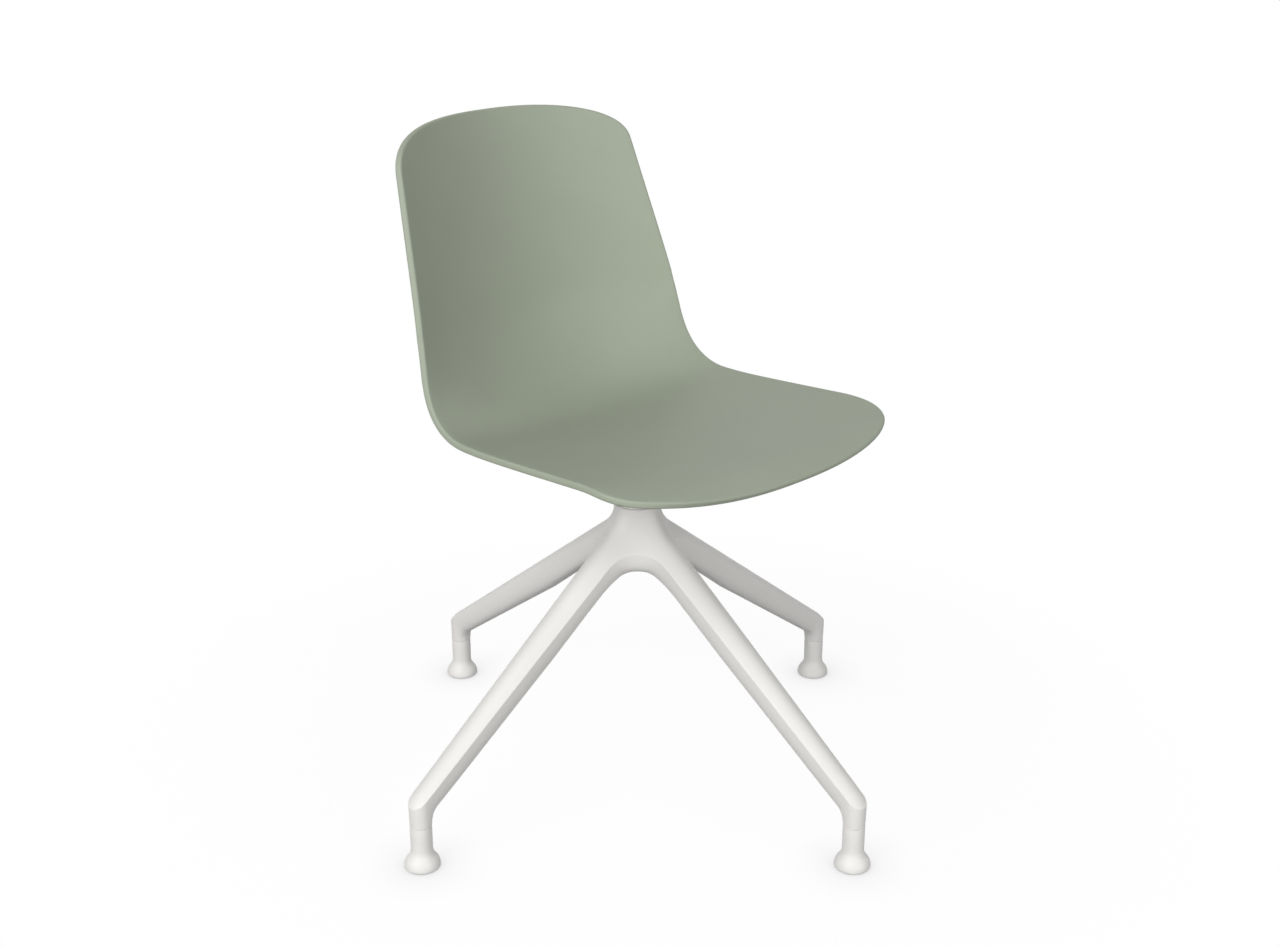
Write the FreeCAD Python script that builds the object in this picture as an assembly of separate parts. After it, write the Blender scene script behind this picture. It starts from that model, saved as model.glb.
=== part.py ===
import FreeCAD, Part
import math
import os

Vector = FreeCAD.Vector
Vector2d = FreeCAD.Base.Vector2d

# Four-leg swivel side chair: a one-piece plastic shell on a cast four-arm base.
# Millimetres. Origin on the floor at the swivel axis, +Z up, the sitter faces -Y.

# Base casting: legs; the middle of their top faces points at leg_axis_height on the swivel axis
foot_circle_radius = 344.4
leg_axis_height = 350.5
leg_foot_height = 93.8
leg_half_width_hub = 19.3
leg_half_width_foot = 13.0
leg_root_radius = 74.0
leg_crown_root = 12.3
leg_crown_foot = 5.7
leg_depth_hub = 26.1
leg_depth_root = 37.7
leg_depth_foot = 31.1
leg_underside_power = 2.75
web_radius = 56.8
web_power = 2.55

# Base casting: column, flare and hub bore
column_top = 348.5
column_radius = 28.5
column_length = 76.5
flare_height = 15.5
flare_reach = 23.5
hub_bore_radius = 19.0
hub_counterbore_radius = 23.5
hub_counterbore_depth = 16.0

# Leg ends, threaded inserts and glides
stub_bottom = 53.3
stub_end_radius = 12.6
insert_radius = 7.5
insert_length = 25.0
stud_radius = 5.0
stud_clearance = 0.1
stud_engagement = 21.0
stud_seat_depth = 24.0
stud_end_room = 5.0
glide_seam = 0.3
glide_flare_top = 24.0
glide_flare_share = 0.5
glide_rim_spread = 8.1
glide_rim_height = 2.2
glide_foot_inset = 0.7
glide_rim_bulge = 0.27
pad_radius = 15.5
pad_thickness = 3.0
pad_proud = 0.8

# Swivel: bushes, spindle, washer, snap ring, hub cap
bush_wall = 4.0
bush_flange_radius = 25.0
bush_flange_thickness = 2.0
lower_flange_gap = 0.5
upper_bush_length = 24.0
lower_bush_length = 20.0
spindle_clearance = 0.05
thrust_gap = 0.1
end_play = 0.3
spindle_flange_radius = 27.5
spindle_flange_thickness = 6.0
spindle_spigot_length = 16.0
spindle_tail = 3.0
washer_thickness = 3.0
washer_rim_gap = 1.5
washer_bore_clearance = 0.2
ring_thickness = 1.75
ring_proud = 3.0
ring_groove_depth = 1.5
cap_thickness = 2.5

# Column tube and seat plate
tube_radius = 27.0
tube_wall = 4.0
plate_below_seat = 20.0
plate_thickness = 5.0
plate_margin = 22.0
plate_corner_radius = 26.0
screw_spacing = 140.0

# Seat screws, washers and shell inserts
screw_radius = 3.0
screw_hole_clearance = 0.3
screw_tip_room = 2.0
screw_head_radius = 5.5
screw_head_height = 4.0
hex_socket_width = 5.0
hex_socket_depth = 2.0
screw_washer_radius = 8.0
screw_washer_thickness = 1.5
seat_insert_radius = 4.5
seat_insert_length = 9.5
boss_radius = 11.0

# Shell: centre line seen from the side, on the sitter's face
shell_thickness = 8.2
seat_height = 447.6
seat_slope_deg = 2.7
seat_front = 252.3
lip_radius = 63.7
lip_turn_deg = 41.7
bend_radius = 144.7
back_lean_deg = 12.8
back_top_height = 786.3
back_top_setback = 261.2

# Shell: cross sections are arcs that tighten from the seat to the back
seat_section_radius = 2130.0
back_section_radius = 321.0
dish_start = 17.6
dish_length = 106.2
wrap_middle_past_bend = 86.5
wrap_spread = 60.6

# Shell: outline, unrolled along the centre line, with super-elliptic ends
front_half_width = 224.1
waist_half_width = 217.1
top_half_width = 173.8
front_corner_length = 98.5
top_corner_length = 62.8
corner_power = 2.36

# How finely the curved skins are sampled, and how far they run past their edges
hub_row_count = 7
leg_row_count = 11
across_count = 7
shell_row_count = 61
section_count = 15
outline_count = 25
skin_overlap = 1.0
shell_overlap = 4.0

# Derived values shared by several pieces
leg_slope = (leg_axis_height - leg_foot_height) / foot_circle_radius
web_end = leg_half_width_hub + web_radius
web_start = web_end - web_radius * 0.5 ** (1.0 / web_power)
foot_underside = leg_foot_height - leg_crown_foot - leg_depth_foot
column_bottom = column_top - column_length
hub_shoulder = column_bottom + hub_counterbore_depth
bush_bore_radius = hub_bore_radius - bush_wall
spindle_radius = bush_bore_radius - spindle_clearance
spindle_flange_bottom = column_top + bush_flange_thickness + thrust_gap
tube_bottom = spindle_flange_bottom + spindle_flange_thickness
plate_top = seat_height - plate_below_seat
plate_bottom = plate_top - plate_thickness
washer_top = hub_shoulder - bush_flange_thickness - end_play
ring_top = washer_top - washer_thickness
ring_bottom = ring_top - ring_thickness
ring_bore_radius = spindle_radius - ring_groove_depth
spindle_bottom = ring_bottom - spindle_tail
glide_top = stub_bottom - glide_seam
glide_rim_radius = stub_end_radius + glide_rim_spread
glide_foot_radius = glide_rim_radius - glide_foot_inset
screw_hole_radius = screw_radius + screw_hole_clearance
screw_head_top = plate_bottom - screw_washer_thickness
screw_tip = plate_top + seat_insert_length - screw_tip_room
quarter_turns = [0.0, 90.0, 180.0, 270.0]


def smooth_step(value):
    clipped = min(max(value, 0.0), 1.0)
    return clipped * clipped * (3.0 - 2.0 * clipped)


def even_steps(first, last, count):
    return [first + (last - first) * index / (count - 1.0) for index in range(count)]


def cylinder(radius, low, high, x=0.0, y=0.0):
    return Part.makeCylinder(radius, high - low, Vector(x, y, low))


def ring(outer_radius, inner_radius, low, high, x=0.0, y=0.0):
    return cylinder(outer_radius, low, high, x, y).cut(cylinder(inner_radius, low, high, x, y))


def turned(shape, degrees):
    copy = shape.copy()
    copy.rotate(Vector(0, 0, 0), Vector(0, 0, 1), degrees)
    return copy


def curve_through(points, parameters):
    curve = Part.BSplineCurve()
    curve.interpolate(Points=points, Parameters=parameters)
    return curve


def surface_through(grid, u_values, v_values):
    """Smooth surface with grid[i][j] at parameters u_values[i], v_values[j]."""
    rows = [curve_through(row, v_values) for row in grid]
    columns = [curve_through(list(poles), u_values) for poles in zip(*[row.getPoles() for row in rows])]
    poles = [list(line) for line in zip(*[column.getPoles() for column in columns])]
    surface = Part.BSplineSurface()
    surface.buildFromPolesMultsKnots(
        poles,
        columns[0].getMultiplicities(),
        rows[0].getMultiplicities(),
        columns[0].getKnots(),
        rows[0].getKnots(),
        False,
        False,
        columns[0].Degree,
        rows[0].Degree,
    )
    return surface


def closed_solid(faces):
    shell = Part.makeShell(faces)
    shell.sewShape()
    return Part.makeSolid(shell)


# Base casting


def leg_half_width(reach):
    taper = (leg_half_width_hub - leg_half_width_foot) / (foot_circle_radius - web_end)
    return leg_half_width_hub - taper * (reach - web_end)


def leg_crown(reach):
    """Height of the top face's middle above its ridges."""
    share = (reach - leg_root_radius) / (foot_circle_radius - leg_root_radius)
    return leg_crown_root + (leg_crown_foot - leg_crown_root) * share


def casting_top(x, y):
    """Height of the crowned top face: one smooth formula for legs, webs and flare."""
    reach = math.hypot(x, y)
    across = x * y / (reach * leg_half_width(reach))
    past_foot = max(0.0, max(abs(x), abs(y)) - foot_circle_radius) / leg_half_width_foot
    near_column = max(0.0, 1.0 - (reach - column_radius) / flare_reach)
    crowned = leg_axis_height - leg_slope * reach - leg_crown(reach) * (across ** 2 + past_foot ** 2)
    return crowned + flare_height * near_column ** 3


def casting_depth(reach):
    """Depth of the rounded underside below the ridge."""
    if reach < leg_root_radius:
        share = smooth_step((reach - web_start) / (leg_root_radius - web_start))
        return leg_depth_hub + (leg_depth_root - leg_depth_hub) * share
    share = (reach - leg_root_radius) / (foot_circle_radius - leg_root_radius)
    return leg_depth_root + (leg_depth_foot - leg_depth_root) * share


# The skin of a leg starts inside the column, blends out of the concave web over twice the
# web's reach, and runs past the foot, where the rounded leg end trims it.
core_radius = column_radius - skin_overlap
leg_blend_end = 2.0 * web_end
leg_overrun = foot_circle_radius + leg_half_width_foot + skin_overlap
web_split_deg = 22.0


def web_point(angle_deg):
    """Plan point on the concave super-elliptic web, 45 degrees at its middle."""
    angle = math.radians(angle_deg)
    along = math.sin(angle) ** (2.0 / web_power)
    across = math.cos(angle) ** (2.0 / web_power)
    return web_end - web_radius * along, web_end - web_radius * across


def plan_lines():
    """Lines from the inside to the ridge, in plan, for half a leg: hub lines, then leg lines."""
    hub_lines = []
    for share in even_steps(0.0, 1.0, hub_row_count):
        turn = math.radians(45.0 * (1.0 - share))
        inside = (core_radius * math.cos(turn), core_radius * math.sin(turn))
        hub_lines.append((inside, web_point(45.0 + (web_split_deg - 45.0) * share)))
    leg_lines = [hub_lines[-1]]
    for share in even_steps(0.0, 1.0, hub_row_count)[1:]:
        inside = (core_radius + (leg_blend_end - core_radius) * share, 0.0)
        if share < 0.5:
            ridge = web_point(web_split_deg * (1.0 - 2.0 * share))
        else:
            ridge_x = web_end + (leg_blend_end - web_end) * (2.0 * share - 1.0)
            ridge = (ridge_x, leg_half_width(ridge_x))
        leg_lines.append((inside, ridge))
    for reach in even_steps(leg_blend_end, leg_overrun, leg_row_count)[1:]:
        leg_lines.append(((reach, 0.0), (reach, leg_half_width(reach))))
    return hub_lines, leg_lines


def top_row(line):
    (inside_x, inside_y), (ridge_x, ridge_y) = line
    row = []
    for share in even_steps(0.0, 1.0, across_count):
        x = inside_x + (ridge_x - inside_x) * share
        y = inside_y + (ridge_y - inside_y) * share
        row.append(Vector(x, y, casting_top(x, y)))
    return row


def underside_row(line):
    (inside_x, inside_y), (ridge_x, ridge_y) = line
    ridge_height = casting_top(ridge_x, ridge_y)
    depth = min(casting_depth(ridge_x), ridge_height - foot_underside)
    row = []
    for angle in even_steps(math.pi / 2.0, 0.0, across_count):
        share = max(math.cos(angle), 0.0) ** (2.0 / leg_underside_power)
        drop = math.sin(angle) ** (2.0 / leg_underside_power)
        x = inside_x + (ridge_x - inside_x) * share
        y = inside_y + (ridge_y - inside_y) * share
        row.append(Vector(x, y, ridge_height - depth * drop))
    return row


def make_casting_star():
    """Legs and webs as one closed skin around an open core."""
    across = even_steps(0.0, 1.0, across_count)
    eighth = []
    ends = []
    cores = []
    for make_row in (top_row, underside_row):
        for lines, group in zip(plan_lines(), ("hub", "leg")):
            rows = [make_row(line) for line in lines]
            along = even_steps(0.0, 1.0, len(rows))
            eighth.append(surface_through(rows, along, across).toShape())
            if group == "leg":
                ends.append(curve_through(rows[-1], across).toShape())
            else:
                cores.append(curve_through([row[0] for row in rows], along).toShape())
    eighth.append(Part.makeRuledSurface(cores[0], cores[1]))
    mirrored = [face.mirror(Vector(0, 0, 0), Vector(0, 1, 0)) for face in eighth]
    mirrored_ends = [edge.mirror(Vector(0, 0, 0), Vector(0, 1, 0)) for edge in ends]
    end_face = Part.Face(Part.Wire(Part.__sortEdges__(ends + mirrored_ends)))
    quarter = eighth + mirrored + [end_face]
    return closed_solid([turned(face, turn) for turn in quarter_turns for face in quarter])


def leg_end_prism():
    """Plan shape that rounds off the leg end about the foot axis."""
    width = foot_circle_radius
    inner = Part.makeBox(foot_circle_radius, width, column_top, Vector(0, -width / 2.0, 0))
    return inner.fuse(cylinder(leg_half_width_foot, 0.0, column_top, foot_circle_radius))


def make_base_casting():
    star = make_casting_star()
    prisms = [turned(leg_end_prism(), turn) for turn in quarter_turns]
    star = star.common(prisms[0].multiFuse(prisms[1:]))
    stub_top = foot_underside + leg_depth_foot / 2.0
    stub = Part.makeCone(
        stub_end_radius,
        leg_half_width_foot,
        stub_top - stub_bottom,
        Vector(foot_circle_radius, 0, stub_bottom),
    )
    column = cylinder(column_radius, column_bottom, column_top)
    casting = star.multiFuse([column] + [turned(stub, turn) for turn in quarter_turns])
    casting = casting.cut(cylinder(hub_bore_radius, column_bottom, column_top))
    casting = casting.cut(cylinder(hub_counterbore_radius, column_bottom, hub_shoulder))
    socket_top = stub_bottom + insert_length
    socket = cylinder(insert_radius, stub_bottom, socket_top, foot_circle_radius)
    room = cylinder(stud_radius + stud_clearance, socket_top, socket_top + stud_end_room, foot_circle_radius)
    sockets = [turned(hole, turn) for turn in quarter_turns for hole in (socket, room)]
    return casting.cut(sockets[0].multiFuse(sockets[1:])).removeSplitter()


def make_leg_inserts():
    bush = ring(
        insert_radius,
        stud_radius + stud_clearance,
        stub_bottom,
        stub_bottom + insert_length,
        foot_circle_radius,
    )
    return Part.makeCompound([turned(bush, turn) for turn in quarter_turns])


# Glides


def make_glide_body():
    """Trumpet foot: straight neck, concave flare, rounded rim, recess for the pad."""
    fall = glide_flare_top - glide_rim_height
    turn = 2.0 * math.atan2(glide_rim_spread, fall)
    radius_sum = fall / math.sin(turn)
    upper_radius = radius_sum * glide_flare_share
    lower_radius = radius_sum - upper_radius

    def on_upper(angle):
        return Vector(
            stub_end_radius + upper_radius * (1.0 - math.cos(angle)),
            0,
            glide_flare_top - upper_radius * math.sin(angle),
        )

    def on_lower(angle):
        return Vector(
            glide_rim_radius - lower_radius * (1.0 - math.cos(angle)),
            0,
            glide_rim_height + lower_radius * math.sin(angle),
        )

    rim = Vector(glide_rim_radius, 0, glide_rim_height)
    foot = Vector(glide_foot_radius, 0, pad_proud)
    rim_middle = (rim + foot) / 2.0 + Vector(glide_foot_inset * glide_rim_bulge, 0, 0)
    top = Vector(stub_end_radius, 0, glide_top)
    neck = Vector(stub_end_radius, 0, glide_flare_top)
    edges = [
        Part.makeLine(Vector(0, 0, pad_proud), foot),
        Part.Arc(foot, rim_middle, rim).toShape(),
        Part.Arc(rim, on_lower(turn / 2.0), on_lower(turn)).toShape(),
        Part.Arc(on_upper(turn), on_upper(turn / 2.0), neck).toShape(),
        Part.makeLine(neck, top),
        Part.makeLine(top, Vector(0, 0, glide_top)),
        Part.makeLine(Vector(0, 0, glide_top), Vector(0, 0, pad_proud)),
    ]
    body = Part.Face(Part.Wire(edges)).revolve(Vector(0, 0, 0), Vector(0, 0, 1), 360)
    body = body.cut(cylinder(stud_radius, glide_top - stud_seat_depth, glide_top))
    return body.cut(cylinder(pad_radius, pad_proud, pad_thickness))


def make_glide_stud():
    return cylinder(stud_radius, glide_top - stud_seat_depth, stub_bottom + stud_engagement)


def make_glide_pad():
    return cylinder(pad_radius, 0.0, pad_thickness)


# Swivel


def make_upper_bush():
    sleeve = cylinder(hub_bore_radius, column_top - upper_bush_length, column_top)
    flange = cylinder(bush_flange_radius, column_top, column_top + bush_flange_thickness)
    bore = cylinder(bush_bore_radius, column_top - upper_bush_length, column_top + bush_flange_thickness)
    return sleeve.fuse(flange).cut(bore)


def make_lower_bush():
    sleeve = cylinder(hub_bore_radius, hub_shoulder, hub_shoulder + lower_bush_length)
    flange_radius = hub_counterbore_radius - lower_flange_gap
    flange = cylinder(flange_radius, hub_shoulder - bush_flange_thickness, hub_shoulder)
    bore = cylinder(bush_bore_radius, hub_shoulder - bush_flange_thickness, hub_shoulder + lower_bush_length)
    return sleeve.fuse(flange).cut(bore)


def make_spindle():
    shaft = cylinder(spindle_radius, spindle_bottom, tube_bottom)
    flange = cylinder(spindle_flange_radius, spindle_flange_bottom, tube_bottom)
    spigot = cylinder(tube_radius - tube_wall, tube_bottom, tube_bottom + spindle_spigot_length)
    groove = ring(spindle_radius, ring_bore_radius, ring_bottom, ring_top)
    return shaft.multiFuse([flange, spigot]).cut(groove)


def make_retaining_washer():
    rim_radius = hub_counterbore_radius - washer_rim_gap
    return ring(rim_radius, spindle_radius + washer_bore_clearance, ring_top, washer_top)


def make_snap_ring():
    rim_radius = spindle_radius + ring_proud
    opening_half = ring_groove_depth
    corner = Vector(0, -opening_half, ring_bottom)
    opening = Part.makeBox(rim_radius, 2.0 * opening_half, ring_thickness, corner)
    return ring(rim_radius, ring_bore_radius, ring_bottom, ring_top).cut(opening)


def make_hub_cap():
    return cylinder(hub_counterbore_radius, column_bottom, column_bottom + cap_thickness)


def make_column_tube():
    return ring(tube_radius, tube_radius - tube_wall, tube_bottom, plate_bottom)


def screw_points():
    half = screw_spacing / 2.0
    return [(x, y) for x in (-half, half) for y in (-half, half)]


def make_seat_plate():
    half = screw_spacing / 2.0 + plate_margin
    plate = Part.makeBox(2.0 * half, 2.0 * half, plate_thickness, Vector(-half, -half, plate_bottom))
    uprights = [edge for edge in plate.Edges if edge.BoundBox.ZLength > plate_thickness / 2.0]
    plate = plate.makeFillet(plate_corner_radius, uprights)
    holes = [cylinder(screw_hole_radius, plate_bottom, plate_top, x, y) for x, y in screw_points()]
    return plate.cut(holes[0].multiFuse(holes[1:]))


def make_screw(x, y):
    head_bottom = screw_head_top - screw_head_height
    shank = cylinder(screw_radius, screw_head_top, screw_tip, x, y)
    head = cylinder(screw_head_radius, head_bottom, screw_head_top, x, y)
    corner_radius = hex_socket_width / math.sqrt(3.0)
    corners = []
    for side in range(7):
        angle = math.radians(60.0 * side)
        corner = Vector(corner_radius * math.cos(angle), corner_radius * math.sin(angle), 0)
        corners.append(Vector(x, y, head_bottom) + corner)
    recess = Part.Face(Part.makePolygon(corners)).extrude(Vector(0, 0, hex_socket_depth))
    return shank.fuse(head).cut(recess)


def make_screw_washer(x, y):
    return ring(screw_washer_radius, screw_hole_radius, screw_head_top, plate_bottom, x, y)


def make_seat_insert(x, y):
    return ring(seat_insert_radius, screw_radius, plate_top, plate_top + seat_insert_length, x, y)


# Shell


def shell_centre_line():
    """Joints of the centre line, in (forward, height), from the front lip to the top edge."""
    slope = math.radians(seat_slope_deg)
    lean = math.radians(back_lean_deg)
    lip_turn = math.radians(lip_turn_deg)
    lip_reach = lip_radius * (math.sin(lip_turn - slope) + math.sin(slope))
    lip_joint = (seat_front - lip_reach, seat_height + math.tan(slope) * (seat_front - lip_reach))
    corner_height = seat_height - math.tan(slope) * (back_top_setback - back_top_height * math.tan(lean))
    corner_height /= 1.0 + math.tan(slope) * math.tan(lean)
    corner_forward = (back_top_height - corner_height) * math.tan(lean) - back_top_setback
    turn = math.pi / 2.0 + slope - lean
    tangent = bend_radius * math.tan(turn / 2.0)
    seat_joint = (corner_forward + tangent * math.cos(slope), corner_height + tangent * math.sin(slope))
    back_joint = (corner_forward - tangent * math.sin(lean), corner_height + tangent * math.cos(lean))
    return slope, lean, lip_turn, turn, lip_joint, seat_joint, back_joint


slope, lean, lip_turn, bend_turn, lip_joint, seat_joint, back_joint = shell_centre_line()
lip_length = lip_radius * lip_turn
bend_start = lip_length + math.dist(lip_joint, seat_joint)
bend_end = bend_start + bend_radius * bend_turn
shell_length = bend_end + math.dist(back_joint, (-back_top_setback, back_top_height))


def centre_point(along):
    """Point (forward, height) and facing angle of the centre line at a length from the lip's end."""
    if along < lip_length:
        facing = math.pi / 2.0 + slope - (lip_length - along) / lip_radius
        forward = lip_joint[0] + lip_radius * (math.cos(facing) + math.sin(slope))
        height = lip_joint[1] + lip_radius * (math.sin(facing) - math.cos(slope))
        return forward, height, facing
    if along < bend_start:
        run = along - lip_length
        facing = math.pi / 2.0 + slope
        return lip_joint[0] - run * math.cos(slope), lip_joint[1] - run * math.sin(slope), facing
    if along < bend_end:
        facing = math.pi / 2.0 + slope - (along - bend_start) / bend_radius
        forward = seat_joint[0] - bend_radius * (math.cos(facing) + math.sin(slope))
        height = seat_joint[1] - bend_radius * (math.sin(facing) - math.cos(slope))
        return forward, height, facing
    run = along - bend_end
    return back_joint[0] - run * math.sin(lean), back_joint[1] + run * math.cos(lean), lean


def section_curvature(along):
    seat_curvature = smooth_step((along - dish_start) / dish_length) / seat_section_radius
    wrap_share = 0.5 + 0.5 * math.tanh((along - bend_start - wrap_middle_past_bend) / wrap_spread)
    return seat_curvature + (1.0 / back_section_radius - seat_curvature) * wrap_share


def shell_face_point(along, across):
    """Point on the sitter's face."""
    forward, height, facing = centre_point(along)
    curvature = section_curvature(along)
    rise = curvature * across ** 2 / (1.0 + math.sqrt(1.0 - (curvature * across) ** 2))
    return Vector(across, -forward - rise * math.cos(facing), height + rise * math.sin(facing))


def shell_point(along, across, depth):
    """Point at a depth under the sitter's face, measured square to it."""
    step = 0.01
    lengthwise = shell_face_point(along + step, across) - shell_face_point(along - step, across)
    crosswise = shell_face_point(along, across + step) - shell_face_point(along, across - step)
    return shell_face_point(along, across) + crosswise.cross(lengthwise).normalize() * -depth


def shell_surface(depth):
    half_width = front_half_width + shell_overlap
    alongs = even_steps(-shell_overlap, shell_length + shell_overlap, shell_row_count)
    acrosses = even_steps(-half_width, half_width, section_count)
    grid = [[shell_point(along, across, depth) for across in acrosses] for along in alongs]
    return surface_through(grid, alongs, acrosses)


def side_half_width(along):
    """Half width without the rounded ends: straight in plan, then straight in front view."""
    if along < bend_start:
        return front_half_width + (waist_half_width - front_half_width) * along / bend_start
    low = shell_face_point(bend_start, waist_half_width).z
    here = shell_face_point(along, waist_half_width).z
    high = shell_face_point(shell_length, waist_half_width).z
    return waist_half_width + (top_half_width - waist_half_width) * (here - low) / (high - low)


def end_curve(end, corner_length):
    """Super-elliptic end from one side to the other, corner_length signed into the shell."""
    points = []
    for angle in even_steps(-math.pi / 2.0, math.pi / 2.0, outline_count):
        inset = 1.0 - max(math.cos(angle), 0.0) ** (2.0 / corner_power)
        across = math.copysign(abs(math.sin(angle)) ** (2.0 / corner_power), angle)
        along = end + corner_length * inset
        points.append(Vector2d(along, across * side_half_width(along)))
    return points


def side_curve(first, last, sign):
    alongs = even_steps(first, last, outline_count)
    return [Vector2d(along, sign * side_half_width(along)) for along in alongs]


def shell_outline():
    """Closed outline in (along, across): front end, one side, top end, other side."""
    front = end_curve(0.0, front_corner_length)
    top = end_curve(shell_length, -top_corner_length)
    first = front_corner_length
    last = shell_length - top_corner_length
    runs = [front, side_curve(first, last, 1), top[::-1], side_curve(last, first, -1)]
    curves = []
    for points in runs:
        curve = Part.Geom2d.BSplineCurve2d()
        curve.interpolate(Points=points)
        curves.append(curve)
    return curves


def make_shell_skin():
    outline = shell_outline()
    faces = []
    rims = []
    for depth in (0.0, shell_thickness):
        surface = shell_surface(depth)
        edges = [curve.toShape(surface) for curve in outline]
        rims.append(edges)
        faces.append(Part.Face(surface, Part.Wire(edges)))
    walls = [Part.makeRuledSurface(inner, outer) for inner, outer in zip(*rims)]
    return closed_solid(faces + walls)


def make_seat_shell():
    skin = make_shell_skin()
    bosses = []
    for x, y in screw_points():
        along = lip_length + (lip_joint[0] + y) / math.cos(slope)
        boss_top = shell_face_point(along, x).z - shell_thickness / 2.0
        bosses.append(cylinder(boss_radius, plate_top, boss_top, x, y))
    shell = skin.multiFuse(bosses)
    hole_top = plate_top + seat_insert_length
    holes = [cylinder(seat_insert_radius, plate_top, hole_top, x, y) for x, y in screw_points()]
    return shell.cut(holes[0].multiFuse(holes[1:]))


def group(make_one):
    return Part.makeCompound([make_one(x, y) for x, y in screw_points()])


def main():
    os.makedirs("parts", exist_ok=True)
    pieces = {
        "base_casting": make_base_casting(),
        "leg_inserts": make_leg_inserts(),
        "upper_bush": make_upper_bush(),
        "lower_bush": make_lower_bush(),
        "hub_cap": make_hub_cap(),
        "spindle": make_spindle(),
        "retaining_washer": make_retaining_washer(),
        "snap_ring": make_snap_ring(),
        "column_tube": make_column_tube(),
        "seat_plate": make_seat_plate(),
        "seat_screws": group(make_screw),
        "seat_screw_washers": group(make_screw_washer),
        "seat_inserts": group(make_seat_insert),
        "seat_shell": make_seat_shell(),
    }
    glide_pieces = {
        "glide": make_glide_body(),
        "glide_stud": make_glide_stud(),
        "glide_pad": make_glide_pad(),
    }
    for place, turn in zip(("left", "rear", "right", "front"), quarter_turns):
        for name, piece in glide_pieces.items():
            moved = piece.copy()
            moved.translate(Vector(foot_circle_radius, 0, 0))
            pieces[name + "_" + place] = turned(moved, turn)
    for name, piece in pieces.items():
        print(name, piece.isValid(), len(piece.Solids), round(piece.Volume))
        piece.exportStep("parts/" + name + ".step")


main()
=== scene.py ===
import math

import bmesh
import bpy
from mathutils import Matrix, Vector


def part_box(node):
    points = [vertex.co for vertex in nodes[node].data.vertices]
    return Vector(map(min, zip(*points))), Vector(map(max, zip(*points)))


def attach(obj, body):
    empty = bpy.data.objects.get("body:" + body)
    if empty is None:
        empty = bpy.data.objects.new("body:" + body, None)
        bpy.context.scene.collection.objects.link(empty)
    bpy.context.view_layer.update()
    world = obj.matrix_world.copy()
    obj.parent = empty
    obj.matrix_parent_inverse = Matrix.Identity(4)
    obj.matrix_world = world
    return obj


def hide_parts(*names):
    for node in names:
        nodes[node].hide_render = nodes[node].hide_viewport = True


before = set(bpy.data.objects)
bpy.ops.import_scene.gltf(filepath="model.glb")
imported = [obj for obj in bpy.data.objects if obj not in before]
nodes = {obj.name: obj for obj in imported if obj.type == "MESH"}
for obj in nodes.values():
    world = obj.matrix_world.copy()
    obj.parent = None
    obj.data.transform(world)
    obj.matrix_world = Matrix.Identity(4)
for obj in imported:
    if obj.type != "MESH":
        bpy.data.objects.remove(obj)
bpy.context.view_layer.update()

# Metres, in the part's frame: floor at z = 0, swivel axis on z, the sitter faces -Y.
# Heights and radii that a node's box shows are read from the frame.
# The other sizes repeat those of the solids.
casting_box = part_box("base_casting")
glide_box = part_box("glide_left")
pad_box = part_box("glide_pad_left")
plate_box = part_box("seat_plate")
screw_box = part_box("seat_screws")

# Base casting
column_top = casting_box[1].z
column_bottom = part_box("hub_cap")[0].z
foot_circle_radius = (pad_box[0].x + pad_box[1].x) / 2.0
leg_half_width_foot = casting_box[1].x - foot_circle_radius
leg_half_width_hub = 0.0193
leg_axis_height = 0.3505
leg_foot_height = 0.0938
leg_root_radius = 0.074
leg_crown_root = 0.0123
leg_crown_foot = 0.0057
leg_depth_hub = 0.0261
leg_depth_root = 0.0377
leg_depth_foot = 0.0311
leg_underside_power = 2.75
round_power = 2.0
web_radius = 0.0568
web_power = 2.55
web_split = math.radians(22.0)
column_radius = 0.0285
flare_height = 0.0155
flare_reach = 0.0235
flare_power = 3
ridge_cut = 0.0006
column_edge = 0.0008
hub_bore_radius = 0.019
hub_counterbore_radius = 0.0235
hub_counterbore_depth = 0.016

# Leg ends and glides
glide_places = ("left", "rear", "right", "front")
stub_bottom = casting_box[0].z
stub_end_radius = 0.0126
stub_cone_height = 0.0192
stub_edge = 0.0003
elbow_radius = 0.017
elbow_lead = 0.045
insert_radius = 0.0075
insert_length = 0.025
glide_top = glide_box[1].z
glide_foot_height = glide_box[0].z
glide_rim_radius = (glide_box[1].x - glide_box[0].x) / 2.0
glide_rim_height = 0.0022
glide_foot_inset = 0.0007
glide_flare_top = 0.024
glide_flare_share = 0.5
glide_edge = 0.0003
stud_radius = 0.005
stud_seat_depth = 0.024
pad_radius = (pad_box[1].x - pad_box[0].x) / 2.0
pad_recess = pad_box[1].z

# Shell
shell_thickness = 0.0082
rim_round = 0.0026
seat_height = 0.4476
seat_slope = math.radians(2.7)
seat_front = 0.2523
lip_radius = 0.0637
lip_turn = math.radians(41.7)
bend_radius = 0.1447
back_lean = math.radians(12.8)
back_top_height = 0.7863
back_top_setback = 0.2612
seat_section_radius = 2.13
back_section_radius = 0.321
dish_start = 0.0176
dish_length = 0.1062
wrap_middle_past_bend = 0.0865
wrap_spread = 0.0606
front_half_width = 0.2241
waist_half_width = 0.2171
top_half_width = 0.1738
front_corner_length = 0.0985
top_corner_length = 0.0628
corner_power = 2.36
boss_radius = 0.011
boss_edge = 0.0003
boss_foot_round = 0.004
boss_overlap = 0.001
screw_head_radius = 0.0055

# Camera of the photograph
camera_place = Vector((-1.4032, -1.4032, 1.1115))
camera_aim = Vector((0.0, 0.0, 0.3844))
camera_lens = 50.0
camera_sensor = 36.0
camera_shift = 0.0020

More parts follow.
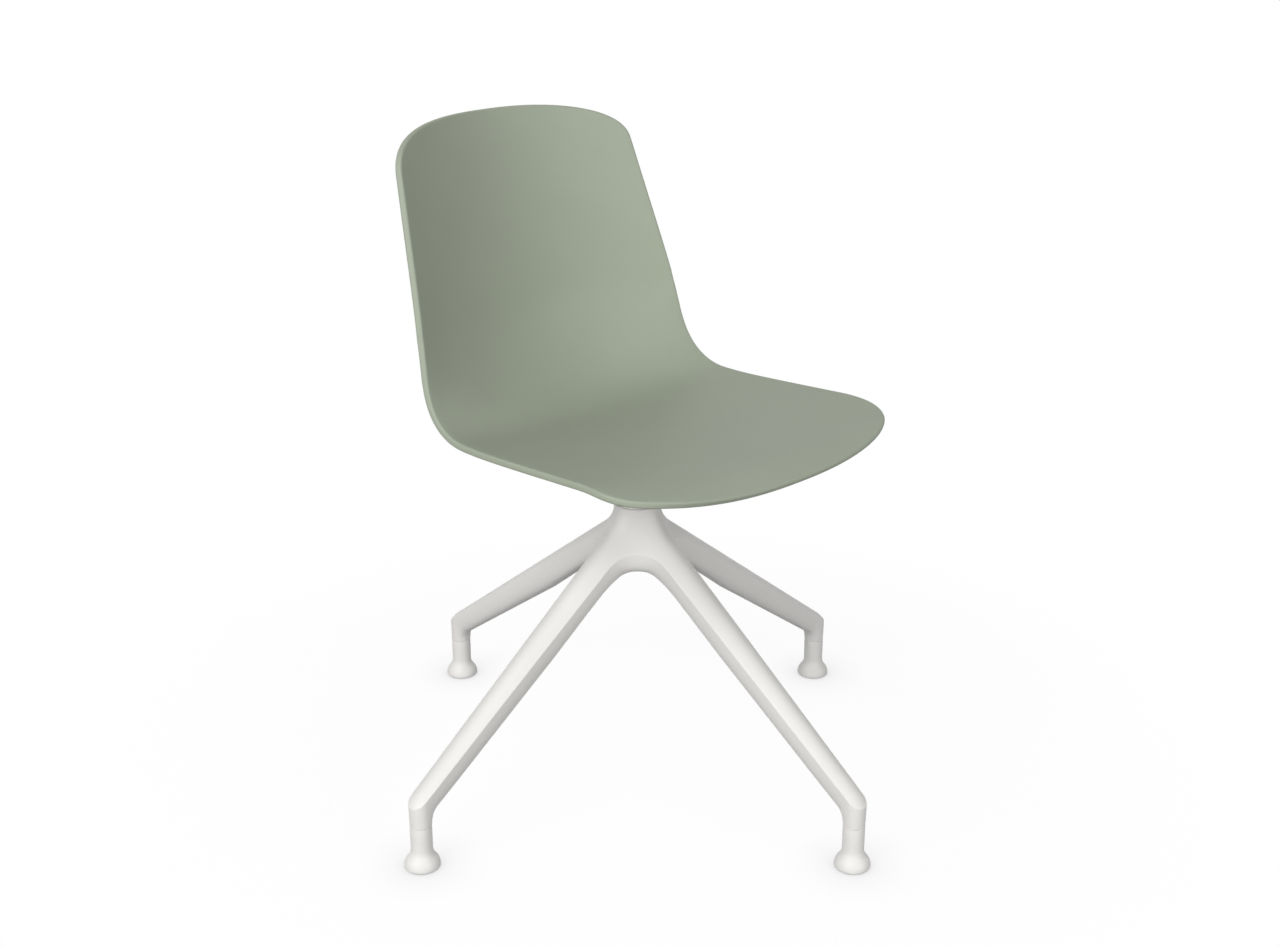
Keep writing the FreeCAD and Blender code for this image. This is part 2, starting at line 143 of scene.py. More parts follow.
# Floor, world and soft lights: each light has its place and its power in watts
white = (1.0, 1.0, 1.0, 1.0)
floor_half_side = 40.0
floor_colour = (0.2, 0.2, 0.2)
white_near = 0.93
shadow_near = 0.35
shadow_far = 0.95
contact_reach = 0.07
contact_shade = 0.55
world_strength = 0.22
light_aim = Vector((0.0, 0.0, 0.4))
softbox_size = 3.6
softboxes = {
    "low_left": ((-5.7, -0.5, 2.15), 194.0),
    "low_right": ((-0.5, -5.7, 2.15), 188.0),
    "high_left": ((-4.5, -0.8, 4.3), 140.0),
    "side_left": ((-2.2, 4.7, 3.4), 24.0),
    "rear": ((4.6, 2.4, 2.8), 30.0),
}

# Materials: colour, its drift, grain scale, grain depth, range of roughness, share of metal, specular level
paint_colour = (0.70, 0.69, 0.67)
material_looks = {
    "shell_plastic": ((0.300, 0.333, 0.263), 0.015, 2600.0, 0.00004, (0.56, 0.64), 0.0, 0.3),
    "base_paint": (paint_colour, 0.01, 900.0, 0.000006, (0.46, 0.54), 0.0, 0.3),
    "glide_paint": (paint_colour, 0.01, 900.0, 0.000006, (0.46, 0.54), 0.0, 0.3),
    "tube_paint": (paint_colour, 0.012, 900.0, 0.000006, (0.46, 0.54), 0.0, 0.3),
    "cap_plastic": (paint_colour, 0.012, 2600.0, 0.00003, (0.50, 0.58), 0.0, 0.5),
    "bush_acetal": ((0.70, 0.685, 0.64), 0.02, 2200.0, 0.00003, (0.42, 0.52), 0.0, 0.5),
    "pad_nylon": ((0.035, 0.035, 0.035), 0.12, 1800.0, 0.00006, (0.60, 0.72), 0.0, 0.5),
    "turned_steel": ((0.52, 0.52, 0.53), 0.05, 700.0, 0.00001, (0.25, 0.36), 1.0, 0.5),
    "zinc_steel": ((0.60, 0.61, 0.63), 0.06, 1300.0, 0.00001, (0.30, 0.42), 1.0, 0.5),
    "brass_insert": ((0.60, 0.42, 0.16), 0.06, 1300.0, 0.00002, (0.28, 0.40), 1.0, 0.5),
}
drift_scale = 14.0
drift_detail = 3.0
grain_detail = 2.0
noise_low = 0.3
noise_high = 0.7

# Rows and points of the meshes
line_count = 33
top_count = 13
ridge_count = 5
under_count = 13
wall_count = 9
hub_count = 13
blend_count = 17
straight_count = 17
lead_count = 9
elbow_count = 9
tip_count = 13
foot_edge_count = 7
flare_count = 11
seam_count = 5
glide_segments = 72
shell_end_count = 65
shell_side_count = 91
face_count = 26
face_share = 0.955
face_crowding = 1.15
rim_count = 6
boss_round_count = 6
boss_segments = 40
normal_step = 1e-5
weld_distance = 5e-5
sharp_degrees = 35.0
shell_sharp_degrees = 60.0

# Derived values
leg_slope = (leg_axis_height - leg_foot_height) / foot_circle_radius
web_end = leg_half_width_hub + web_radius
web_start = web_end - web_radius * 0.5 ** (1.0 / web_power)
leg_blend_end = 2.0 * web_end
hub_shoulder = column_bottom + hub_counterbore_depth
plate_top = plate_box[1].z
screw_half_spacing = screw_box[1].x - screw_head_radius
stub_edge_height = stub_bottom + stub_edge
flat_distance = weld_distance / 10.0
quarter = math.pi / 2.0
eighth = math.pi / 4.0


# Small helpers


def smooth_step(value):
    clipped = min(max(value, 0.0), 1.0)
    return clipped * clipped * (3.0 - 2.0 * clipped)


def even_steps(first, last, count):
    return [first + (last - first) * index / (count - 1.0) for index in range(count)]


def mix(first, second, share):
    return first + (second - first) * share


def walk(points, distances):
    """Points at the given distances along a line of points."""
    found = []
    for distance in distances:
        left = distance
        place = points[-1]
        for first, second in zip(points, points[1:]):
            step = (second - first).length
            if left <= step:
                place = first.lerp(second, left / step) if step > 0.0 else first
                break
            left -= step
        found.append(place)
    return found


def line_length(points):
    return sum((second - first).length for first, second in zip(points, points[1:]))


def add_grid(mesh, rows, closed=False):
    """Quads between neighbouring rows of points."""
    made = [[mesh.verts.new(point) for point in row] for row in rows]
    if closed:
        made.append(made[0])
    for row, after in zip(made, made[1:]):
        for index in range(len(row) - 1):
            mesh.faces.new((row[index], row[index + 1], after[index + 1], after[index]))


def finish_mesh(mesh, name, body, sharp=sharp_degrees):
    """Welds the patches, drops flat leftovers and makes the piece."""
    bmesh.ops.remove_doubles(mesh, verts=mesh.verts, dist=weld_distance)
    bmesh.ops.dissolve_degenerate(mesh, dist=flat_distance, edges=mesh.edges)
    bmesh.ops.recalc_face_normals(mesh, faces=mesh.faces)
    data = bpy.data.meshes.new(name)
    mesh.to_mesh(data)
    mesh.free()
    data.shade_smooth()
    data.set_sharp_from_angle(angle=math.radians(sharp))
    piece = bpy.data.objects.new(name, data)
    bpy.context.scene.collection.objects.link(piece)
    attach(piece, body)
    return piece


def lathe_rows(profile, centre, segments):
    """Rows of a turned shape: profile holds (radius, height) pairs."""
    rows = []
    for index in range(segments):
        angle = 2.0 * math.pi * index / segments
        rows.append(
            [
                Vector((centre[0] + radius * math.cos(angle), centre[1] + radius * math.sin(angle), height))
                for radius, height in profile
            ]
        )
    return rows


def arc_points(centre, radius, first, last, count):
    """Points on an arc from the first angle to the last."""
    return [
        (centre[0] + radius * math.cos(angle), centre[1] + radius * math.sin(angle))
        for angle in even_steps(first, last, count)
    ]


# Base casting


def leg_half_width(reach):
    taper = (leg_half_width_hub - leg_half_width_foot) / (foot_circle_radius - web_end)
    return leg_half_width_hub - taper * (reach - web_end)


def leg_crown(reach):
    """Height of the top face's middle above its ridges."""
    share = (reach - leg_root_radius) / (foot_circle_radius - leg_root_radius)
    return mix(leg_crown_root, leg_crown_foot, share)


def casting_top(x, y):
    """Height of the crowned top face: one smooth formula for legs, webs and flare."""
    reach = math.hypot(x, y)
    across = x * y / (reach * leg_half_width(reach))
    past_foot = max(0.0, max(abs(x), abs(y)) - foot_circle_radius) / leg_half_width_foot
    near_column = max(0.0, 1.0 - (reach - column_radius) / flare_reach)
    crowned = leg_axis_height - leg_slope * reach - leg_crown(reach) * (across ** 2 + past_foot ** 2)
    return crowned + flare_height * near_column ** flare_power


def casting_depth(reach):
    """Depth of the rounded underside below the ridge."""
    if reach < leg_root_radius:
        share = smooth_step((reach - web_start) / (leg_root_radius - web_start))
        return mix(leg_depth_hub, leg_depth_root, share)
    share = (reach - leg_root_radius) / (foot_circle_radius - leg_root_radius)
    return mix(leg_depth_root, leg_depth_foot, share)


def web_point(angle):
    """Plan point on the concave super-elliptic web, an eighth of a turn at its middle."""
    along = math.sin(angle) ** (2.0 / web_power)
    across = math.cos(angle) ** (2.0 / web_power)
    return web_end - web_radius * along, web_end - web_radius * across


def top_line(inside, ridge):
    """Line on the top face from a plan point inside it to one on its ridge."""
    points = []
    for share in even_steps(0.0, 1.0, line_count):
        x = mix(inside[0], ridge[0], share)
        y = mix(inside[1], ridge[1], share)
        points.append(Vector((x, y, casting_top(x, y))))
    return points


def under_line(side, bottom, middle, power):
    """Super-elliptic line from a side point round to the bottom point, about a middle point."""
    points = []
    for angle in even_steps(0.0, quarter, line_count):
        outward = max(math.cos(angle), 0.0) ** (2.0 / power)
        downward = math.sin(angle) ** (2.0 / power)
        points.append(middle + (side - middle) * outward + (bottom - middle) * downward)
    return points


def rounded_ridge(before, corner, after, count=ridge_count):
    """Points that round a corner off, from the cut before it to the cut after it."""
    points = []
    for share in even_steps(0.0, 1.0, count):
        points.append(before.lerp(corner, share).lerp(corner.lerp(after, share), share))
    return points


def profile(top, bottom):
    """One row over the ridge: top line, rounded ridge, underside line down to the bottom point."""
    kept_top = walk(top, even_steps(0.0, line_length(top) - ridge_cut, top_count))
    side = top[-1] - Vector((0.0, 0.0, ridge_cut))
    middle = Vector((top[0].x, top[0].y, side.z))
    under = under_line(side, bottom, middle, leg_underside_power)
    kept_under = walk(under, even_steps(0.0, line_length(under), under_count))
    return kept_top + rounded_ridge(kept_top[-1], top[-1], side)[1:-1] + kept_under


def hub_profile(inside, ridge):
    """Row over the ridge whose bottom lies straight below its inside point."""
    top = top_line(inside, ridge)
    return profile(top, Vector((inside[0], inside[1], top[-1].z - casting_depth(ridge[0]))))


def hub_row(turn, ridge):
    """Row through the column: bore, column edge, flare, web, underside, bore again."""
    along = Vector((math.cos(turn), math.sin(turn), 0.0))
    outer = hub_profile((column_radius * along.x, column_radius * along.y), ridge)
    inner_low = [
        (column_radius, column_bottom),
        (hub_counterbore_radius, column_bottom),
        (hub_counterbore_radius, hub_shoulder),
        (hub_bore_radius, hub_shoulder),
    ]
    inner_high = [
        (hub_bore_radius, column_top),
        (column_radius - column_edge, column_top),
        (column_radius, column_top - column_edge),
    ]
    low = [along * radius + Vector((0.0, 0.0, height)) for radius, height in inner_low]
    high = [along * radius + Vector((0.0, 0.0, height)) for radius, height in inner_high]
    return low[-1:] + high + outer + low


def leg_row(reach):
    return hub_profile((reach, 0.0), (reach, leg_half_width(reach)))


def stub_radius(height):
    share = min(1.0, (height - stub_bottom) / stub_cone_height)
    return mix(stub_end_radius, leg_half_width_foot, share)


def stub_foot(point):
    """The stub's edge, end face and socket, carried on from a point on its wall."""
    axis = Vector((foot_circle_radius, 0.0, 0.0))
    outward = Vector((point.x, point.y, 0.0)) - axis
    outward.normalize()
    profile_points = [
        (stub_end_radius - stub_edge, stub_bottom),
        (insert_radius, stub_bottom),
        (insert_radius, stub_bottom + insert_length),
        (0.0, stub_bottom + insert_length),
    ]
    return [axis + outward * radius + Vector((0.0, 0.0, height)) for radius, height in profile_points]


def leg_bottom(reach):
    ridge = casting_top(reach, leg_half_width(reach))
    return Vector((reach, 0.0, ridge - casting_depth(reach)))


def elbow_inside():
    """Line in the leg's middle plane, and its length up to the round.

    It runs along the leg's underside, round the elbow and down the stub.
    """
    start = leg_bottom(foot_circle_radius - elbow_lead)
    corner = leg_bottom(foot_circle_radius - leg_half_width_foot)
    foot = Vector((foot_circle_radius - stub_end_radius, 0.0, stub_edge_height))
    into = (corner - start).normalized()
    away = (foot - corner).normalized()
    tangent = min(elbow_radius * math.tan(into.angle(away) / 2.0), (foot - corner).length)
    round_off = rounded_ridge(corner - into * tangent, corner, corner + away * tangent, elbow_count)
    return [start] + round_off + [foot], (corner - into * tangent - start).length


def leg_rows(inside_line, lead_length):
    """Rows of half a leg, y >= 0: fanned about the web, square to the leg, then over the elbow."""
    rows = []
    lead_start = foot_circle_radius - elbow_lead
    for index, x in enumerate(even_steps(column_radius, leg_blend_end, blend_count)):
        share = index / (blend_count - 1.0)
        if share < 0.5:
            ridge = web_point(web_split * (1.0 - 2.0 * share))
        else:
            ridge_x = mix(web_end, leg_blend_end, 2.0 * share - 1.0)
            ridge = (ridge_x, leg_half_width(ridge_x))
        rows.append(hub_profile((x, 0.0), ridge))
    for reach in even_steps(leg_blend_end, lead_start, straight_count)[1:]:
        rows.append(leg_row(reach))
    for index in range(1, lead_count + 1):
        share = index / float(lead_count)
        reach = mix(lead_start, foot_circle_radius, share)
        top = top_line((reach, 0.0), (reach, leg_half_width(reach)))
        rows.append(profile(top, walk(inside_line, [lead_length * share])[0]))
    return rows


def elbow_rows(first_row, inside_line, lead_length):
    """Rows from the leg's last underside line down the stub's inner half to its socket."""
    rows = [first_row]
    inside_length = line_length(inside_line)
    for index in range(1, wall_count):
        share = index / (wall_count - 1.0)
        height = mix(first_row[0].z, stub_edge_height, share)
        side = Vector((foot_circle_radius, stub_radius(height), height))
        middle = Vector((foot_circle_radius, 0.0, height))
        bottom = walk(inside_line, [mix(lead_length, inside_length, share)])[0]
        line = under_line(side, bottom, middle, mix(leg_underside_power, round_power, share))
        rows.append(walk(line, even_steps(0.0, line_length(line), under_count)))
    feet = [stub_foot(point) for point in rows[-1]]
    return rows + [list(row) for row in zip(*feet)]


def tip_rows():
    """Rows round the leg's tip: over the top face, down the stub's outer half to its socket."""
    rows = []
    for angle in even_steps(0.0, quarter, tip_count):
        ridge_x = foot_circle_radius + leg_half_width_foot * math.sin(angle)
        ridge_y = leg_half_width_foot * math.cos(angle)
        top = top_line((foot_circle_radius, 0.0), (ridge_x, ridge_y))
        kept_top = walk(top, even_steps(0.0, line_length(top) - ridge_cut, top_count))
        wall = []
        for height in even_steps(top[-1].z - ridge_cut, stub_edge_height, wall_count):
            radius = stub_radius(height)
            x = foot_circle_radius + radius * math.sin(angle)
            wall.append(Vector((x, radius * math.cos(angle), height)))
        ridge = rounded_ridge(kept_top[-1], top[-1], wall[0])[1:-1]
        rows.append(kept_top + ridge + wall + stub_foot(wall[-1]))
    return rows


def leg_patches():
    inside_line, lead_length = elbow_inside()
    leg = leg_rows(inside_line, lead_length)
    elbow = elbow_rows(leg[-1][-under_count:], inside_line, lead_length)
    return [leg, elbow, tip_rows()]


def hub_patch():
    """An eighth of the hub, from the middle of a web to the leg."""
    rows = []
    for share in even_steps(0.0, 1.0, hub_count):
        turn = eighth * (1.0 - share)
        rows.append(hub_row(turn, web_point(mix(eighth, web_split, share))))
    return rows


def make_base():
    mesh = bmesh.new()
    patches = leg_patches() + [hub_patch()]
    for turn in range(4):
        turned = Matrix.Rotation(quarter * turn, 3, "Z")
        for mirror in (1.0, -1.0):
            place = turned @ Matrix.Diagonal((1.0, mirror, 1.0))
            for rows in patches:
                add_grid(mesh, [[place @ point for point in row] for row in rows])
    piece = finish_mesh(mesh, "base_casting_surface", "base")
    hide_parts("base_casting")
    return piece


# Glides


def glide_profile():
    """(radius, height) pairs from the pad's recess round the flared foot and up to the stud's socket."""
    neck_radius = stub_end_radius
    spread = glide_rim_radius - neck_radius
    fall = glide_flare_top - glide_rim_height
    turn = 2.0 * math.atan2(spread, fall)
    radius_sum = fall / math.sin(turn)
    upper = radius_sum * glide_flare_share
    lower = radius_sum - upper
    foot_radius = glide_rim_radius - glide_foot_inset
    socket_bottom = glide_top - stud_seat_depth
    line = [(0.0, pad_recess), (pad_radius, pad_recess), (pad_radius, glide_foot_height)]
    line.append((foot_radius - glide_edge, glide_foot_height))
    for share in even_steps(0.0, 1.0, foot_edge_count):
        radius = mix(foot_radius, glide_rim_radius, math.sin(share * quarter))
        line.append((radius, mix(glide_foot_height + glide_edge, glide_rim_height, share)))
    rim_centre = (glide_rim_radius - lower, glide_rim_height)
    line += arc_points(rim_centre, lower, 0.0, turn, flare_count)[1:]
    flare_centre = (neck_radius + upper, glide_flare_top)
    line += arc_points(flare_centre, upper, math.pi + turn, math.pi, flare_count)[1:]
    line += [(neck_radius, mix(glide_flare_top, glide_top, 0.5))]
    edge_centre = (neck_radius - glide_edge, glide_top - glide_edge)
    line += arc_points(edge_centre, glide_edge, 0.0, quarter, seam_count)
    line += [(stud_radius, glide_top), (stud_radius, socket_bottom), (0.0, socket_bottom)]
    return line


def make_glides():
    pieces = []
    for place in glide_places:
        low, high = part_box("glide_pad_" + place)
        centre = ((low.x + high.x) / 2.0, (low.y + high.y) / 2.0)
        mesh = bmesh.new()
        add_grid(mesh, lathe_rows(glide_profile(), centre, glide_segments), closed=True)
        piece = finish_mesh(mesh, "glide_surface_" + place, "levelling_glide_" + place)
        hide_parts("glide_" + place)
        pieces.append(piece)
    return pieces


# Shell


def shell_centre_line():
    """The bend's turn, and (forward, height) where the lip ends, the bend starts and the bend ends."""
    lip_reach = lip_radius * (math.sin(lip_turn - seat_slope) + math.sin(seat_slope))
    lip = (seat_front - lip_reach, seat_height + math.tan(seat_slope) * (seat_front - lip_reach))
    back_foot = back_top_setback - back_top_height * math.tan(back_lean)
    corner_height = seat_height - math.tan(seat_slope) * back_foot
    corner_height /= 1.0 + math.tan(seat_slope) * math.tan(back_lean)
    corner = (back_top_height - corner_height) * math.tan(back_lean) - back_top_setback
    turn = quarter + seat_slope - back_lean
    tangent = bend_radius * math.tan(turn / 2.0)
    seat = (corner + tangent * math.cos(seat_slope), corner_height + tangent * math.sin(seat_slope))
    back = (corner - tangent * math.sin(back_lean), corner_height + tangent * math.cos(back_lean))
    return turn, lip, seat, back


bend_turn, lip_joint, seat_joint, back_joint = shell_centre_line()
lip_length = lip_radius * lip_turn
bend_start = lip_length + math.dist(lip_joint, seat_joint)
bend_end = bend_start + bend_radius * bend_turn
shell_length = bend_end + math.dist(back_joint, (-back_top_setback, back_top_height))
spine_first = front_corner_length
spine_last = shell_length - top_corner_length


def centre_point(along):
    """(forward, height, facing angle) of the shell's middle line."""
    level = quarter + seat_slope
    if along < lip_length:
        facing = level - (lip_length - along) / lip_radius
        forward = lip_joint[0] + lip_radius * (math.cos(facing) + math.sin(seat_slope))
        return forward, lip_joint[1] + lip_radius * (math.sin(facing) - math.cos(seat_slope)), facing
    if along < bend_start:
        run = along - lip_length
        return lip_joint[0] - run * math.cos(seat_slope), lip_joint[1] - run * math.sin(seat_slope), level
    if along < bend_end:
        facing = level - (along - bend_start) / bend_radius
        forward = seat_joint[0] - bend_radius * (math.cos(facing) + math.sin(seat_slope))
        return forward, seat_joint[1] - bend_radius * (math.sin(facing) - math.cos(seat_slope)), facing
    run = along - bend_end
    return back_joint[0] - run * math.sin(back_lean), back_joint[1] + run * math.cos(back_lean), back_lean


def section_curvature(along):
    """Curvature of the cross section: none at the lip, slight on the seat, most on the back."""
    seat_curvature = smooth_step((along - dish_start) / dish_length) / seat_section_radius
    wrap = 0.5 + 0.5 * math.tanh((along - bend_start - wrap_middle_past_bend) / wrap_spread)
    return mix(seat_curvature, 1.0 / back_section_radius, wrap)


def face_point(along, across):
    """Point on the sitter's face."""
    forward, height, facing = centre_point(along)
    curvature = section_curvature(along)
    rise = curvature * across ** 2 / (1.0 + math.sqrt(1.0 - (curvature * across) ** 2))
    return Vector((across, -forward - rise * math.cos(facing), height + rise * math.sin(facing)))


def face_normal(along, across):
    lengthwise = face_point(along + normal_step, across) - face_point(along - normal_step, across)
    crosswise = face_point(along, across + normal_step) - face_point(along, across - normal_step)
    return crosswise.cross(lengthwise).normalized()


def side_half_width(along):
    """Half of the shell's width: even taper along the seat, then with height up the back."""
    if along < bend_start:
        return mix(front_half_width, waist_half_width, along / bend_start)
    low = face_point(bend_start, waist_half_width).z
    here = face_point(along, waist_half_width).z
    high = face_point(shell_length, waist_half_width).z
    return mix(waist_half_width, top_half_width, (here - low) / (high - low))


def shell_end(end, corner_length):
    """Super-elliptic end of the outline, in (along, across)."""
    points = []
    for angle in even_steps(-quarter, quarter, shell_end_count):
        inset = 1.0 - max(math.cos(angle), 0.0) ** (2.0 / corner_power)
        across = math.copysign(abs(math.sin(angle)) ** (2.0 / corner_power), angle)
        along = end + corner_length * inset
        points.append((along, across * side_half_width(along)))
    return points


def shell_outline():
    """Outline in (along, across), once round: front end, one side, top end, other side."""
    alongs = even_steps(spine_first, spine_last, shell_side_count)
    front = shell_end(0.0, front_corner_length)
    side = [(along, side_half_width(along)) for along in alongs]
    top = shell_end(shell_length, -top_corner_length)[::-1]
    other = [(along, -across) for along, across in side[::-1]]
    return front[:-1] + side[:-1] + top[:-1] + other[:-1]


def rim_profile():
    """(inset, depth) pairs from the sitter's face round the edge to the underside."""
    points = []
    for angle in even_steps(0.0, quarter, rim_count):
        points.append((rim_round * (1.0 - math.sin(angle)), rim_round * (1.0 - math.cos(angle))))
    return points + [(inset, shell_thickness - depth) for inset, depth in points[::-1]]


def shell_rows():
    """One row per outline point: from the spine over the face, round the rim, back under to the spine."""
    outline = shell_outline()
    steps = even_steps(0.0, 1.0, face_count)
    shares = [face_share * (1.0 - (1.0 - step) ** face_crowding) for step in steps]
    rows = []
    for index, (along, across) in enumerate(outline):
        spine = min(max(along, spine_first), spine_last)
        inner = [(mix(spine, along, share), across * share) for share in shares]
        before = face_point(*outline[index - 1])
        after = face_point(*outline[(index + 1) % len(outline)])
        edge = face_point(along, across)
        normal = face_normal(along, across)
        outward = (after - before).cross(normal).normalized()
        if outward.dot(edge - face_point(spine, 0.0)) < 0.0:
            outward.negate()
        face = [face_point(*place) for place in inner]
        under = [face_point(*place) - face_normal(*place) * shell_thickness for place in inner]
        rim = [edge - outward * inset - normal * depth for inset, depth in rim_profile()]
        rows.append(face + rim + under[::-1])
    return rows


def boss_profile(top):
    """(radius, height) pairs of a screw boss, from the seat plate up into the shell."""
    line = [(0.0, plate_top), (boss_radius - boss_edge, plate_top), (boss_radius, plate_top + boss_edge)]
    for angle in even_steps(0.0, quarter, boss_round_count):
        radius = boss_radius + boss_foot_round * (1.0 - math.cos(angle))
        line.append((radius, top - boss_foot_round * (1.0 - math.sin(angle))))
    return line + [(0.0, top)]


def make_shell():
    mesh = bmesh.new()
    add_grid(mesh, shell_rows(), closed=True)
    for x in (-screw_half_spacing, screw_half_spacing):
        for y in (-screw_half_spacing, screw_half_spacing):
            along = lip_length + (lip_joint[0] + y) / math.cos(seat_slope)
            top = face_point(along, x).z - shell_thickness + boss_overlap
            add_grid(mesh, lathe_rows(boss_profile(top), (x, y), boss_segments), closed=True)
    piece = finish_mesh(mesh, "seat_shell_surface", "seat", shell_sharp_degrees)
    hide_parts("seat_shell")
    return piece


# Materials


def new_material(name):
    material = bpy.data.materials.new(name)
    material.use_nodes = True
    shader = material.node_tree.nodes["Principled BSDF"]
    return material, material.node_tree, shader


def noise(tree, coordinates, scale, detail):
    texture = tree.nodes.new("ShaderNodeTexNoise")
    texture.inputs["Scale"].default_value = scale
    texture.inputs["Detail"].default_value = detail
    tree.links.new(coordinates, texture.inputs["Vector"])
    return texture.outputs["Fac"]


def ramp_between(tree, factor, dark, light):
    """Colour that goes from dark to light over the noise's usual range."""
    ramp = tree.nodes.new("ShaderNodeValToRGB")
    ramp.color_ramp.elements[0].position = noise_low
    ramp.color_ramp.elements[1].position = noise_high
    ramp.color_ramp.elements[0].color = (*dark, 1.0)
    ramp.color_ramp.elements[1].color = (*light, 1.0)
    tree.links.new(factor, ramp.inputs["Fac"])
    return ramp.outputs["Color"]


def map_between(tree, factor, low, high):
    """Value that goes from low to high over the noise's usual range."""
    node = tree.nodes.new("ShaderNodeMapRange")
    node.inputs["From Min"].default_value = noise_low
    node.inputs["From Max"].default_value = noise_high
    node.inputs["To Min"].default_value = low
    node.inputs["To Max"].default_value = high
    tree.links.new(factor, node.inputs["Value"])
    return node.outputs["Result"]


def surface_material(name, looks):
    """Colour that drifts a little, a fine surface grain and a roughness that follows the grain."""
    colour, variation, grain_scale, grain_depth, roughness, metallic, specular = looks
    material, tree, shader = new_material(name)
    coordinates = tree.nodes.new("ShaderNodeTexCoord").outputs["Object"]
    drift = noise(tree, coordinates, drift_scale, drift_detail)
    grain = noise(tree, coordinates, grain_scale, grain_detail)
    dark = [channel * (1.0 - variation) for channel in colour]
    light = [min(1.0, channel * (1.0 + variation)) for channel in colour]
    tree.links.new(ramp_between(tree, drift, dark, light), shader.inputs["Base Color"])
    tree.links.new(map_between(tree, grain, roughness[0], roughness[1]), shader.inputs["Roughness"])
    bump = tree.nodes.new("ShaderNodeBump")
    bump.inputs["Strength"].default_value = 1.0
    bump.inputs["Distance"].default_value = grain_depth
    tree.links.new(grain, bump.inputs["Height"])
    tree.links.new(bump.outputs["Normal"], shader.inputs["Normal"])
    shader.inputs["Metallic"].default_value = metallic
    shader.inputs["Specular IOR Level"].default_value = specular
    return material


def dress(piece, material):
    piece.data.materials.clear()
    piece.data.materials.append(material)


materials = {name: surface_material(name, looks) for name, looks in material_looks.items()}


# Pieces

shell = make_shell()
base = make_base()
glides = make_glides()

dress(shell, materials["shell_plastic"])
dress(base, materials["base_paint"])
for glide in glides:
    dress(glide, materials["glide_paint"])
node_materials = {
    "upper_bush": "bush_acetal",
    "lower_bush": "bush_acetal",
    "hub_cap": "cap_plastic",
    "leg_inserts": "brass_insert",
    "seat_inserts": "brass_insert",
    "spindle": "turned_steel",
    "retaining_washer": "zinc_steel",
    "snap_ring": "zinc_steel",
    "column_tube": "tube_paint",
    "seat_plate": "tube_paint",
    "seat_screws": "zinc_steel",
    "seat_screw_washers": "zinc_steel",
}
for place in glide_places:
    node_materials["glide_stud_" + place] = "zinc_steel"
    node_materials["glide_pad_" + place] = "pad_nylon"
for name, material_name in node_materials.items():
    dress(nodes[name], materials[material_name])


# Stage: white floor, white world, soft lights and camera


def mix_shaders(tree, share, first, second):
    blend = tree.nodes.new("ShaderNodeMixShader")
    tree.links.new(share, blend.inputs["Fac"])
    tree.links.new(first, blend.inputs[1])
    tree.links.new(second, blend.inputs[2])
    return blend.outputs["Shader"]


def combine(tree, operation, first, second):
    node = tree.nodes.new("ShaderNodeMath")
    node.operation = operation
    tree.links.new(first, node.inputs[0])
    tree.links.new(second, node.inputs[1])
    return node.outputs["Value"]


def seen_ray(tree):
    """1 for camera, glossy and transmission rays, 0 for the rest."""
    path = tree.nodes.new("ShaderNodeLightPath")
    seen = path.outputs["Is Camera Ray"]
    for ray in ("Is Glossy Ray", "Is Transmission Ray"):
        seen = combine(tree, "MAXIMUM", seen, path.outputs[ray])
    return seen


def white_share(tree):
    """Share of plain white in the floor: some shadow near the chair, none far from it."""
    place = tree.nodes.new("ShaderNodeTexCoord").outputs["Object"]
    distance = tree.nodes.new("ShaderNodeVectorMath")
    distance.operation = "LENGTH"
    tree.links.new(place, distance.inputs[0])
    fade = tree.nodes.new("ShaderNodeMapRange")
    fade.interpolation_type = "SMOOTHSTEP"
    fade.inputs["From Min"].default_value = shadow_near
    fade.inputs["From Max"].default_value = shadow_far
    fade.inputs["To Min"].default_value = white_near
    fade.inputs["To Max"].default_value = 1.0
    tree.links.new(distance.outputs["Value"], fade.inputs["Value"])
    return fade.outputs["Result"]


def contact_shadow(tree):
    """1 on the open floor, a little less close to the feet."""
    near = tree.nodes.new("ShaderNodeAmbientOcclusion")
    near.inputs["Distance"].default_value = contact_reach
    lift = tree.nodes.new("ShaderNodeMapRange")
    lift.inputs["To Min"].default_value = contact_shade
    tree.links.new(near.outputs["AO"], lift.inputs["Value"])
    return lift.outputs["Result"]


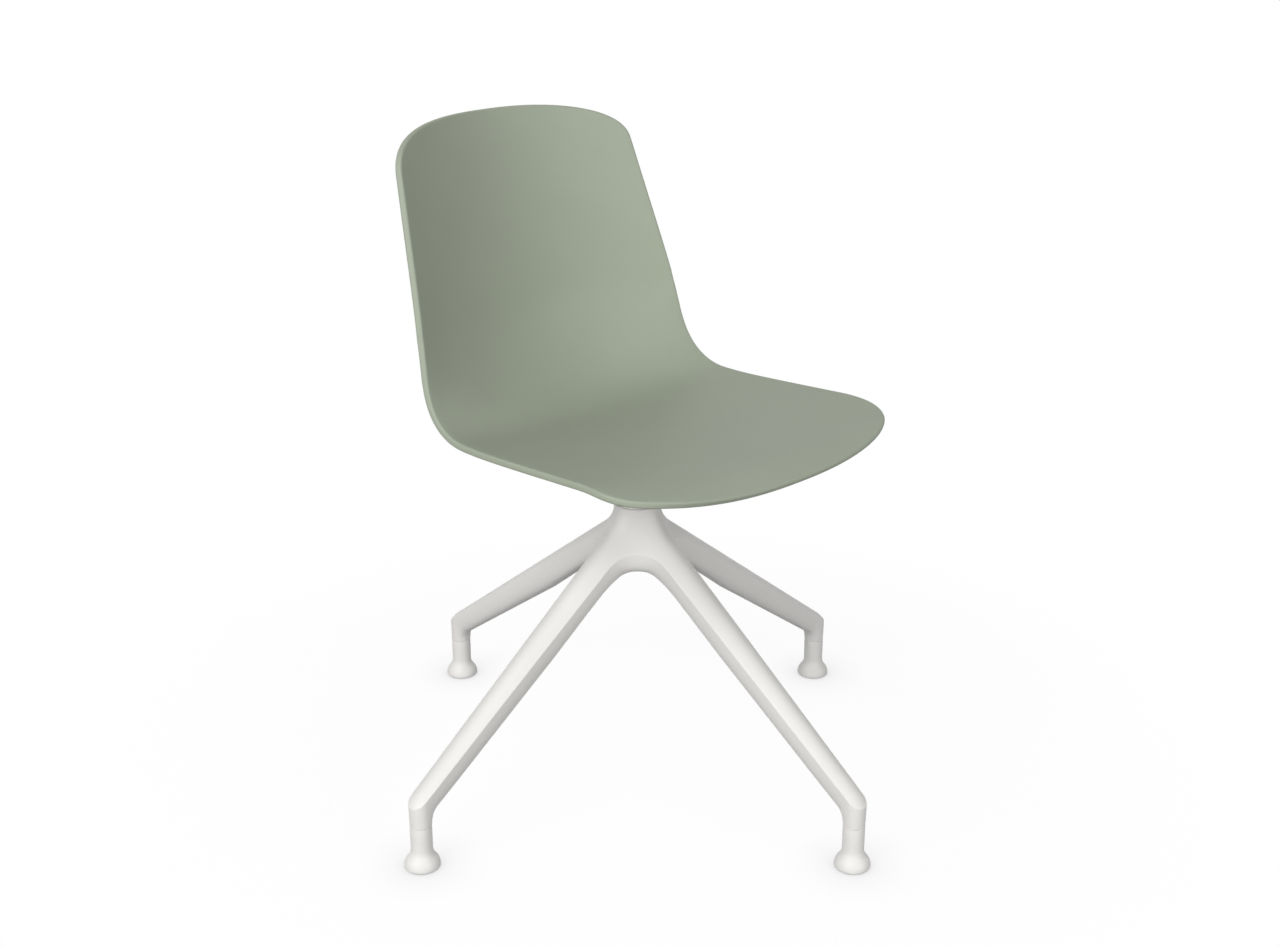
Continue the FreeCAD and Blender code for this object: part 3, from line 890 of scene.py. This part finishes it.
def make_floor():
    mesh = bmesh.new()
    sides = ((-1.0, -1.0), (1.0, -1.0), (1.0, 1.0), (-1.0, 1.0))
    mesh.faces.new([mesh.verts.new((x * floor_half_side, y * floor_half_side, 0.0)) for x, y in sides])
    data = bpy.data.meshes.new("floor")
    mesh.to_mesh(data)
    mesh.free()
    floor = bpy.data.objects.new("floor", data)
    bpy.context.scene.collection.objects.link(floor)
    material, tree, shader = new_material("floor_white")
    tree.nodes.remove(shader)
    output = tree.nodes["Material Output"]
    bounced = tree.nodes.new("ShaderNodeBsdfDiffuse")
    bounced.inputs["Color"].default_value = (*floor_colour, 1.0)
    shaded = tree.nodes.new("ShaderNodeBsdfDiffuse")
    shaded.inputs["Color"].default_value = white
    plain = tree.nodes.new("ShaderNodeEmission")
    plain.inputs["Color"].default_value = white
    tree.links.new(contact_shadow(tree), plain.inputs["Strength"])
    seen = mix_shaders(tree, white_share(tree), shaded.outputs["BSDF"], plain.outputs["Emission"])
    surface = mix_shaders(tree, seen_ray(tree), bounced.outputs["BSDF"], seen)
    tree.links.new(surface, output.inputs["Surface"])
    dress(floor, material)


def make_world():
    world = bpy.data.worlds.new("studio")
    world.use_nodes = True
    bpy.context.scene.world = world
    tree = world.node_tree
    plain = tree.nodes["Background"]
    plain.inputs["Color"].default_value = white
    plain.inputs["Strength"].default_value = world_strength
    seen = tree.nodes.new("ShaderNodeBackground")
    seen.inputs["Color"].default_value = white
    surface = mix_shaders(tree, seen_ray(tree), plain.outputs["Background"], seen.outputs["Background"])
    tree.links.new(surface, tree.nodes["World Output"].inputs["Surface"])


def make_softbox(name, place, power):
    lamp = bpy.data.lights.new(name, "AREA")
    lamp.shape = "SQUARE"
    lamp.size = softbox_size
    lamp.energy = power
    softbox = bpy.data.objects.new(name, lamp)
    softbox.location = place
    softbox.rotation_euler = (light_aim - Vector(place)).to_track_quat("-Z", "Y").to_euler()
    bpy.context.scene.collection.objects.link(softbox)


def make_camera():
    camera_data = bpy.data.cameras.new("camera")
    camera_data.lens = camera_lens
    camera_data.sensor_width = camera_sensor
    camera_data.shift_x = camera_shift
    camera = bpy.data.objects.new("camera", camera_data)
    camera.location = camera_place
    camera.rotation_euler = (camera_aim - camera_place).to_track_quat("-Z", "Y").to_euler()
    bpy.context.scene.collection.objects.link(camera)
    bpy.context.scene.camera = camera


make_floor()
make_world()
for name, (place, power) in softboxes.items():
    make_softbox(name, place, power)
make_camera()
bpy.context.scene.view_settings.view_transform = "Standard"
